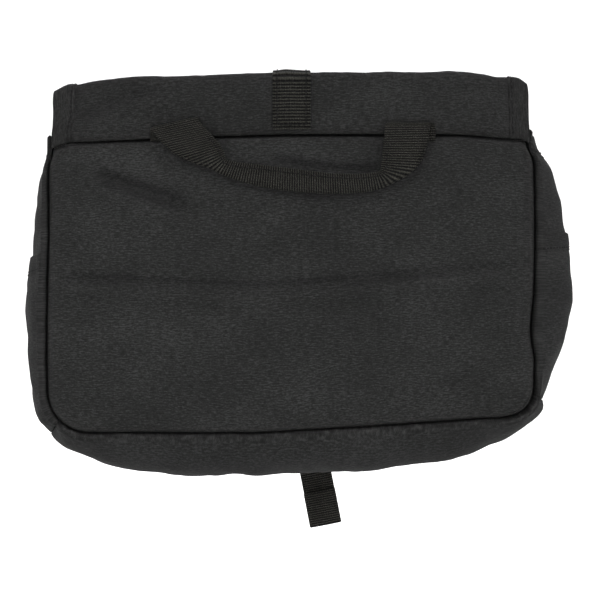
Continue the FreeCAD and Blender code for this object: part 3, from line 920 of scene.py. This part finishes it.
def build_flap_webbing():
    half = node_box("flap_webbing_front")[1][0] - 1.0
    x = spaced(-half, half, 1.6, (3 - half, half - 3)) + WEBBING_SHIFT
    start = node_box("flap_webbing_riser")[0][2]
    rear_q = spaced(start, ROOF_CUT, 1.6)
    front_q = spaced(ROOF_CUT, FLAP_RUN + 0.4, 2.0)
    rear, _ = strip("flap_webbing_rear", x, rear_q, WEB, WEB, WIDE_RIBS, open_sides=("last_row",))
    front, _ = strip("flap_webbing_fall", x, front_q, WEB, WEB, WIDE_RIBS, open_sides=("first_row",))
    swap_uv(rear)
    swap_uv(front)
    across_rear(rear, "webbing", "flap_webbing_riser", "flap_webbing_top")
    across_front(front, "webbing", "flap_webbing_front")

    inset = half - 2.4
    rear_end, front_end = start + 2.5, FLAP_RUN - 3
    for part, q0, q1, end, across in (
        ("rear", rear_end, ROOF_CUT, rear_end, across_rear),
        ("front", ROOF_CUT, front_end, front_end, across_front),
    ):
        q = np.linspace(q0, q1, 120)
        rows = [flap_seam(at + WEBBING_SHIFT + 0 * q, q, WEB + 0.12, 0) for at in (-inset, inset)]
        xs = np.linspace(-inset, inset, 30) + WEBBING_SHIFT
        rows.append(flap_seam(xs, end + 0 * xs, WEB + 0.12, 0))
        across(stitches(f"flap_webbing_stitching_{part}", rows, step=2.8, length=2.2), "webbing")


# --- Carry handle ---
# Stations along the webbing: (upper edge x, z, lower edge x, z), from the +X fold to the -X fold.
HANDLE_STATIONS = [
    (58.4, 8.4, 87.8, 1.4), (54.6, 3.8, 83.6, -2.6), (49.2, -2.0, 77.4, -9.0),
    (44.6, -7.2, 70.4, -14.8), (42.4, -11.4, 61.4, -18.8), (41.3, -14.8, 52.4, -21.8),
    (39.4, -17.2, 44.6, -25.6), (31.0, -18.8, 34.4, -29.6), (18.0, -20.2, 19.6, -33.6),
    (5.0, -21.8, 5.6, -36.0), (-6.0, -23.2, -6.0, -37.0), (-24.0, -25.3, -24.4, -38.2),
    (-40.0, -25.9, -41.4, -37.6), (-49.0, -25.3, -50.6, -36.4), (-53.8, -24.7, -57.6, -34.6),
    (-55.6, -24.0, -64.6, -31.2), (-56.5, -22.8, -71.6, -27.6), (-57.1, -20.0, -78.2, -22.2),
    (-57.6, -15.0, -83.0, -15.6), (-58.3, -7.5, -85.2, -7.4), (-59.0, -0.8, -86.2, -0.2),
    (-59.3, 4.6, -87.2, 4.6),
]
HANDLE_FULL = 27.0  # the webbing's whole width, part of it folded behind
REAR_LAY = 0.75
SEWN_Z = -4.5  # where the rear ply goes into the top seam
HANDLE_CLEAR = 5.4
HANDLE_BEND = 32  # rows at each end that bend with the fold over the top and have no stitches


def catmull(points, count):
    """A smooth line through all the points, with about equal steps."""
    points = np.asarray(points, float)
    padded = np.vstack([2 * points[0] - points[1], points, 2 * points[-1] - points[-2]])
    out = []
    for k in range(len(points) - 1):
        a, b, c, d = padded[k:k + 4]
        for t in np.linspace(0, 1, 24, endpoint=False):
            square, cube = 2 * a - 5 * b + 4 * c - d, 3 * b - a - 3 * c + d
            out.append(0.5 * (2 * b + (c - a) * t + square * t * t + cube * t ** 3))
    out.append(points[-1])
    out = np.array(out)
    length = lengths_along(out)
    return read_at(np.linspace(0, length[-1], count), length, out)


def handle_section(upper, lower, wander):
    """Points across the webbing, from its upper edge round its lengthwise fold. Both plies stay
    outside HANDLE_CLEAR."""
    visible = np.linalg.norm(lower - upper)
    direction = (lower - upper) / visible
    hidden = max(0.0, HANDLE_FULL - visible)
    r = 1.5 * ease(np.array(hidden / 8.0)) + 0.01
    y_out = HANDLE_CLEAR + WEB + 0.15 + 1.1 * r + wander
    w = np.linspace(0, HANDLE_FULL, 34)
    if hidden > 0.3:
        turn = visible - r
        angle = np.clip((w - turn) / r, 0, math.pi)
        behind = np.maximum(0, w - turn - math.pi * r)
        if behind[-1] > turn - 1:
            behind = behind * (turn - 1) / behind[-1]
        along = np.minimum(w, turn) + r * np.sin(angle) - behind
    else:
        angle = 0 * w
        along = w * visible / HANDLE_FULL
    depth = r * (1 - np.cos(angle))
    xz = upper + along[:, None] * direction
    crown = 0.35 * np.sin(np.clip(along / visible, 0, 1) * math.pi)
    return xyz(xz[:, 0], y_out - depth + crown, xz[:, 1])


def fold_over(top, shift):
    """Rows from a tab's top row over the top of the bag and down its rear ply, into the top seam."""
    reach = (float(top[:, 1].mean()) - REAR_LAY) / 2
    fold = []
    for a in np.linspace(0, math.pi, 13)[1:]:
        back = 1 - math.cos(a)
        fold.append(top + np.array([shift * back / 2, -reach * back, reach * 0.75 * math.sin(a)]))
    rear = fold[-1]
    sewn = xyz(np.linspace(rear[0, 0], rear[-1, 0], len(rear)), REAR_LAY - 1.6, SEWN_Z)
    return fold + [rear * (1 - share) + sewn * share for share in np.linspace(0, 1, 7)[1:]]


def build_handle():
    stations = catmull(HANDLE_STATIONS, 190)
    rows = []
    for k, (ux, uz, lx, lz) in enumerate(stations):
        wander = 0.12 + 0.08 * math.sin(k / 9.0) + 0.04 * math.sin(k / 3.1)
        rows.append(handle_section(np.array([ux, uz]), np.array([lx, lz]), wander))
    points = np.array(fold_over(rows[0], 0.5)[::-1] + rows + fold_over(rows[-1], -3.6))
    u = lengths_along(points[:, 4])[:, None]
    w = np.linspace(0, HANDLE_FULL, points.shape[1])[None, :]
    handle = cloth("handle_webbing", points, grid_uv(u, w), WEB, WEBBING, flip=True)
    bends(handle, "bag", "handle", (0, 2.2, 9), (0, HANDLE_CLEAR, 9), "webbing",
          "handle_grip", "handle_tab_left", "handle_tab_right", "handle_end_left", "handle_end_right")
    sewn = slice(HANDLE_BEND, -HANDLE_BEND)
    rows = [grid_row(points[sewn], grid_normals(points, True)[sewn], col=3, lift=0.12)]
    seam = stitches("handle_stitching", rows, step=3.0, length=2.3)
    on_body(seam, "handle", "webbing")


# --- Closure on the front ---
def strap_along(name, path, half, thickness, material, twist=None, open_sides=()):
    """A flat strap drawn along centre points (x, y, z); its width lies along X before any twist."""
    path = np.asarray(path, float)
    across = np.linspace(-half, half, 9)
    tangent = unit(np.gradient(path, axis=0))
    wide = np.tile([1.0, 0.0, 0.0], (len(path), 1))
    if twist is not None:
        wide = xyz(np.cos(twist), 0, np.sin(twist))
    normal = unit(np.cross(wide, tangent))
    surface = path + normal * thickness / 2
    crown = 0.12 * (1 - (across / half) ** 2)
    points = surface[:, None] + wide[:, None] * across[:, None] + normal[:, None] * crown[:, None]
    uv = grid_uv(lengths_along(path)[:, None], across[None, :])
    flip = float((grid_normals(points, False) * normal[:, None]).sum()) < 0
    return cloth(name, points, uv, thickness, material, flip=flip, open_sides=open_sides), points


def rounded_path(corners, radius, step=0.8):
    """A path through corners (out, along) with rounded turns, evenly stepped."""
    corners = [np.array(c, float) for c in corners]
    line = [corners[0]]
    for before, here, after in zip(corners, corners[1:], corners[2:]):
        a, b = before - here, after - here
        cut = min(radius, np.linalg.norm(a) * 0.49, np.linalg.norm(b) * 0.49)
        start, end = here + a / np.linalg.norm(a) * cut, here + b / np.linalg.norm(b) * cut
        for t in np.linspace(0, 1, 9):
            line.append((1 - t) ** 2 * start + 2 * t * (1 - t) * here + t * t * end)
    line.append(corners[-1])
    line = np.array(line)
    length = lengths_along(line)
    return read_at(np.linspace(0, length[-1], max(8, int(length[-1] / step))), length, line)


BUCKLE_OUT = -7.8  # the buckle's middle plane, outside the front face
PLY = 2.4  # from that plane to a strap's middle, in front of it or behind it
FLAP_END = FLAP_END_Z / SLOPE_COS
SOCKET_TOP = FLAP_END - 3.0
TONGUE_TIP = SOCKET_TOP - 27.0
FRAME_TOP = TONGUE_TIP - 15.0
LADDER_TOP = FRAME_TOP - 6.2
PATCH_LOW = (LOW + 4) / SLOPE_COS


BOX_STITCH = {"step": 2.6, "length": 2.0}


def front_path(corners, radius):
    path = rounded_path(corners, radius)
    return front_at(0 * path[:, 0], path[:, 0], path[:, 1])


def box_stitch(low, high, half, out):
    """A sewn box with crossed diagonals on a closure strap."""
    a, b, c, d = (-half, low), (half, low), (half, high), (-half, high)
    rows = []
    for (x0, a0), (x1, a1) in ((a, b), (b, c), (c, d), (d, a), (a, c), (b, d)):
        t = np.linspace(0, 1, 20)
        line = front_at(x0 + (x1 - x0) * t, out + 0 * t, a0 + (a1 - a0) * t)
        rows.append((line, np.tile([0, -SLOPE_COS, SLOPE_SIN], (20, 1))))
    return rows


def build_closure():
    loop_top = FLAP_END + HEM
    rear, front = BUCKLE_OUT + PLY, BUCKLE_OUT - PLY
    turn = SOCKET_TOP - 3.9
    path = [(rear, loop_top), (rear, turn), (front, turn), (front, SOCKET_TOP + 2)]
    path += [(rear - 1.6, SOCKET_TOP + 8), (rear - 1.5, loop_top)]
    loop, _ = strap_along("socket_loop_webbing", front_path(path, 2.3), STRAP_HALF, WEB, WEBBING)
    on_body(loop, "flap_fall", "webbing", "socket_loop")
    rows = box_stitch(SOCKET_TOP + 8.5, loop_top - 2, STRAP_HALF - 2.5, rear - 2.3)
    on_body(stitches("socket_loop_stitching", rows, **BOX_STITCH), "flap_fall", "webbing")

    # The closing strap rises from its sewn end, passes behind the frame and over its ladder bar.
    over = LADDER_TOP + 0.9
    path = [(-2.3, PATCH_LOW), (-2.3, PATCH_LOW + 16), (rear, PATCH_LOW + 27), (rear, over)]
    path = front_path(path + [(BUCKLE_OUT, over)], 4.0)
    cut = ("last_row",)
    strap, _ = strap_along("closing_strap_webbing", path, STRAP_HALF, WEB, WEBBING, open_sides=cut)
    low = front_at(0, -2.3, PATCH_LOW + 17)
    high = front_at(0, rear, PATCH_LOW + 38)
    bends(strap, "bag", "tongue", low, high, "webbing", "closing_strap")
    path = front_path([(-0.7, PATCH_LOW - 0.4), (-0.7, PATCH_LOW + 16.6)], 1.0)
    patch, _ = strap_along("strap_patch_webbing", path, STRAP_HALF + 0.3, WEB, WEBBING)
    on_body(patch, "bag", "webbing", "strap_patch")
    rows = box_stitch(PATCH_LOW + 2, PATCH_LOW + 14, STRAP_HALF - 2.5, -3.15)
    on_body(stitches("strap_patch_stitching", rows, **BOX_STITCH), "bag", "webbing")
    build_tail(over)


def build_tail(over):
    """The free end hangs from the bar, turned a little in its own plane."""
    tail_high = node_box("strap_tail")[1]
    start = front_at(0, BUCKLE_OUT, over)
    plane_y = tail_high[1] - WEB / 2
    length = 111.0
    tilt = math.radians(11)
    down = spaced(0, length, 1.3)
    top_z = tail_high[2] - 1.5
    turned = tilt * ease(down / 26)
    x = -4 * ease(down / 14) - running_total(np.diff(down) * np.sin(turned[1:]))
    z = top_z - running_total(np.diff(down) * np.cos(turned[1:]))
    wave = 0.5 * np.sin(down / 17) * ease(down / 20)
    body = xyz(x, plane_y - 0.25 - wave * 0.6, z)
    join = [start, start + np.array([0, -1.2, 0.25]), start + np.array([0, -2.6, -0.6])]
    path = catmull(np.vstack([join, body[1::4], body[-1:]]), 110)
    twist = -tilt * ease((top_z - path[:, 2]) / 26)
    tail, _ = strap_along(
        "strap_tail_webbing", path, STRAP_HALF, WEB, TAIL_WEBBING_PAINTED_LIGHT, twist=twist, open_sides=("first_row",),
    )
    top = float(start[2])
    begin, end = (0, start[1], top + 0.5), (0, start[1] - 4, top - 5)
    bends(tail, "tongue", "tail", begin, end, "webbing", "strap_tail")

    fold_length = 24.5
    size = np.linalg.norm(np.diff(path, axis=0), axis=1)
    keep = np.cumsum(size[::-1])[::-1] < fold_length
    end_path = path[1:][keep]
    front_ply = end_path + np.array([0, 1.5, 0])
    lip = end_path[-1] + np.array([0, 0.75, 0]) + (end_path[-1] - end_path[-2]) * 0.6
    fold, points = strap_along(
        "strap_tail_fold", np.vstack([front_ply, lip]), STRAP_HALF + 0.25, WEB, TAIL_WEBBING_PAINTED_LIGHT,
        twist=np.append(twist[1:][keep], twist[-1]),
    )
    on_body(fold, "tail", "webbing", "strap_tail_stop")
    rows = []
    for share in (0.08, 0.34):
        line = points[int((len(points) - 1) * share)][1:-1]
        for facing, off in ((1, WEB + 0.15), (-1, -1.4 - WEB)):
            rows.append((line + np.array([0, off, 0]), np.tile([0, facing, 0], (len(line), 1))))
    on_body(stitches("strap_tail_stitching", rows, step=2.4, length=1.9), "tail", "webbing")


def softened(node, piece_name, width):
    """The CAD piece's shape with moulded, rounded edges."""
    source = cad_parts[node]
    bm = bmesh.new()
    bm.from_mesh(source.data)
    bm.transform(source.matrix_world)
    bmesh.ops.remove_doubles(bm, verts=bm.verts, dist=1e-6)
    bmesh.ops.dissolve_limit(bm, angle_limit=math.radians(2), verts=bm.verts, edges=bm.edges)
    sharp = [e for e in bm.edges if len(e.link_faces) == 2 and e.calc_face_angle() > math.radians(25)]
    bmesh.ops.bevel(
        bm, geom=sharp, offset=width * MM, segments=2, profile=0.5, affect="EDGES", clamp_overlap=True,
    )
    for face in bm.faces:
        face.smooth = True
    mesh = bpy.data.meshes.new(piece_name)
    bm.to_mesh(mesh)
    bm.free()
    mesh.materials.append(PLASTIC)
    return add_object(piece_name, mesh)


def build_buckle():
    for node, body, width in (
        ("buckle_socket", "flap_fall", 0.55),
        ("buckle_frame", "tongue", 0.5),
        ("buckle_prong_left", "prong_left", 0.4),
        ("buckle_prong_right", "prong_right", 0.4),
    ):
        on_body(softened(node, node + "_moulding", width), body, "buckle_plastic", node)


# --- Studio ---
def build_studio():
    """A white floor that curves up into walls, five lights and a pale sky, in metres."""
    rings = [
        (0.02, -0.36), (0.6, -0.36), (1.2, -0.36), (2.2, -0.36), (2.7, -0.33),
        (3.1, -0.2), (3.4, 0.1), (3.55, 0.6), (3.6, 1.4), (3.6, 2.6),
    ]
    turns = 96
    points, faces = [], []
    for radius, z in rings:
        for k in range(turns):
            a = 2 * math.pi * k / turns
            points.append((radius * math.cos(a), radius * math.sin(a), z))
    for ring in range(len(rings) - 1):
        here, after = ring * turns, (ring + 1) * turns
        for k in range(turns):
            j = (k + 1) % turns
            faces.append((after + k, after + j, here + j, here + k))
    faces.append(tuple(range(turns)))
    mesh = bpy.data.meshes.new("studio_sweep")
    mesh.from_pydata(points, [], faces)
    for polygon in mesh.polygons:
        polygon.use_smooth = True
    n = Nodes("studio_white", 0.9, 0.1)
    coords = n.add("ShaderNodeTexCoord").outputs["Object"]
    tone = n.noise(coords, 3.0, 1.0)
    n.link(n.ramp(tone, [(0.3, grey(0.90)), (0.7, grey(0.92))]), n.shader.inputs["Base Color"])
    mesh.materials.append(n.material)
    add_object("studio_sweep", mesh)

    for name, place, size, power in (
        ("key_light", (1.1, 1.9, 1.7), 1.6, 35),
        ("low_light", (0.2, 1.7, -0.2), 1.0, 11),
        ("fill_light", (-1.7, 1.5, 0.7), 1.8, 22),
        ("front_light", (0.4, -2.0, 1.5), 1.8, 44),
        ("top_light", (0.0, 0.0, 2.4), 2.2, 28),
    ):
        light = bpy.data.lights.new(name, "AREA")
        light.size = size
        light.energy = power
        lamp = add_object(name, light)
        lamp.location = place
        aim = np.array([0, -0.04, -0.1]) - np.array(place)
        tilt, heading = math.atan2(math.hypot(aim[0], aim[1]), -aim[2]), math.atan2(aim[1], aim[0])
        lamp.rotation_euler = (tilt, 0, heading - math.pi / 2)
    world = bpy.data.worlds.new("studio_world")
    bpy.context.scene.world = world
    world.use_nodes = True
    sky = world.node_tree.nodes["Background"]
    sky.inputs["Color"].default_value = (1, 1, 1, 1)
    sky.inputs["Strength"].default_value = 0.85


def build_camera():
    data = bpy.data.cameras.new("photo_camera")
    data.sensor_width = 36
    data.lens = 142.9
    camera = add_object("photo_camera", data)
    camera.location = (-0.0057, 1.5, -0.1046)
    camera.rotation_euler = (math.pi / 2, 0, math.pi)
    bpy.context.scene.camera = camera
    bpy.context.scene.view_settings.view_transform = "Standard"


build_camera()
build_studio()
build_panels()
for side, name in SIDES:
    build_side(side, name)
    build_pocket(side, name)
build_bottom()
build_tape("rear_tape_cloth", "rear_seam_tape", LIP_Z, lambda z: -1.8 + 0 * z, -1)
build_tape("front_tape_cloth", "front_seam_tape", HEM, lambda z: front_y(z) + 1.8, 1)
build_flap()
build_flap_webbing()
build_handle()
build_closure()
build_buckle()
